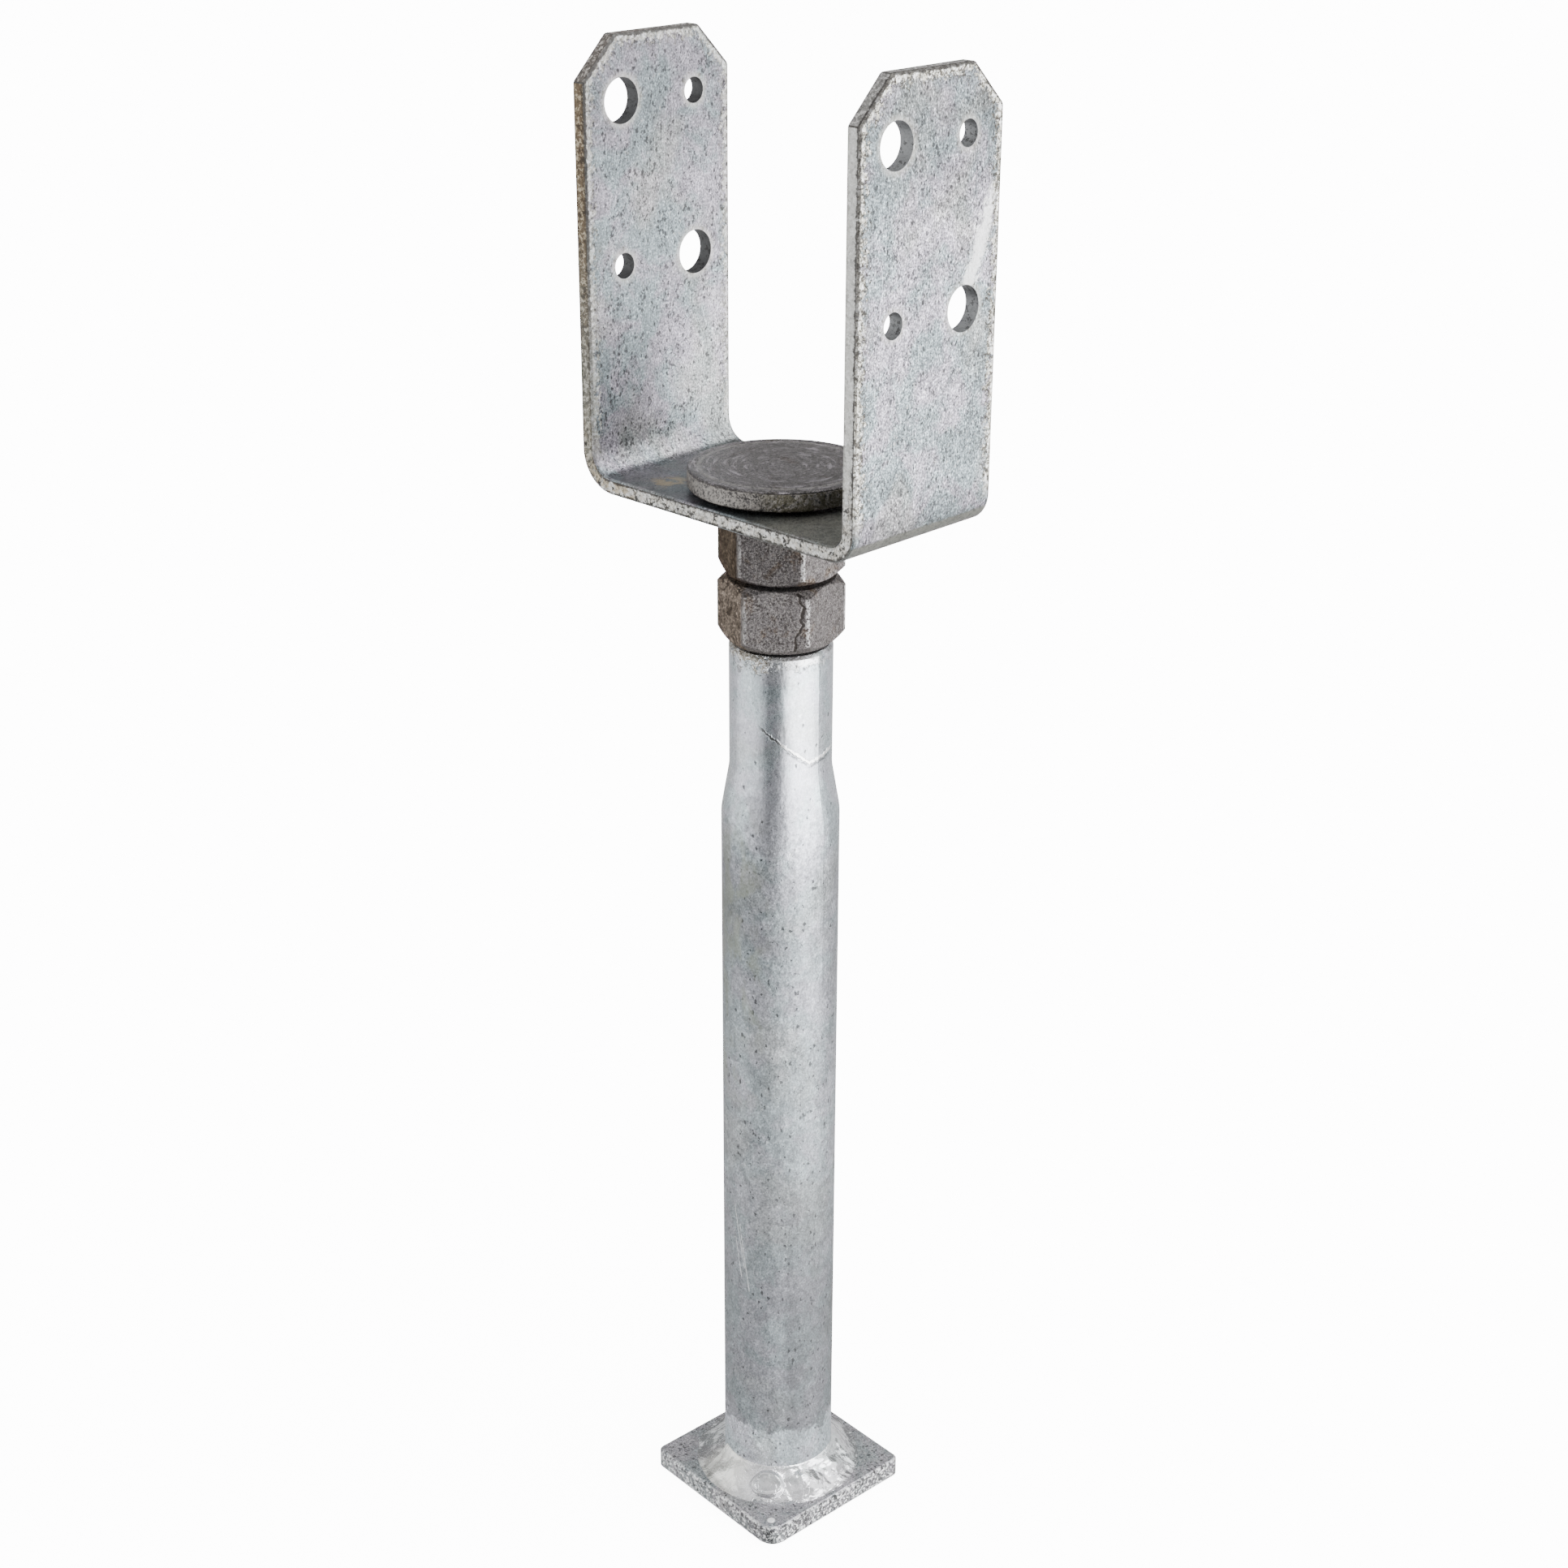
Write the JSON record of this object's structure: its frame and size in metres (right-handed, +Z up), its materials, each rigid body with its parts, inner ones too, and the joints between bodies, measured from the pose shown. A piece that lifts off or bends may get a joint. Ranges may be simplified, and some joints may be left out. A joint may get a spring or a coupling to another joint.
{
  "type": "timber post base",
  "caption": "Height-adjustable post base: a bent fork with a carrying disc on a threaded spindle, a lock nut, and a swaged tube with a square foot plate to cast into concrete.",
  "frame": {"origin": "centre of the foot plate's underside, on the tube's centre line", "axes": "+Z up along the tube, +X across the fork from its left ear to its right ear, +Y towards the back"},
  "size_m": [0.1186, 0.0681, 0.5197],
  "materials": {
    "galvanised_steel": "hot-dip galvanised, mottled, with small pits",
    "weld_metal": "galvanised weld bead, lumpy and shiny",
    "dark_steel": "dark forged steel with a thin dull zinc layer"
  },
  "bodies": {
    "anchor": {"base_plate": "galvanised_steel", "tube": "galvanised_steel", "weld_bead": "weld_metal"},
    "fork": {"fork": "galvanised_steel"},
    "spindle": {"spindle": "dark_steel", "adjusting_nut": "dark_steel"},
    "lock_nut": {"lock_nut": "dark_steel"}
  },
  "joints": [
    {"name": "fork_lift", "type": "slide", "parent": "anchor", "child": "fork", "axis": [0, 0, 1], "range_m": [0, 0.1]},
    {"name": "spindle_turn", "type": "hinge", "parent": "fork", "child": "spindle", "pos_m": [0, 0, 0.3787], "axis": [0, 0, 1], "range_deg": [0, 12000]},
    {"name": "lock_nut_turn", "type": "hinge", "parent": "anchor", "child": "lock_nut", "pos_m": [0, 0, 0.34485], "axis": [0, 0, 1], "continuous": true}
  ],
  "couplings": [
    {"joint": "fork_lift", "follows": "spindle_turn", "m_per_rad": 0.00047746}
  ]
}
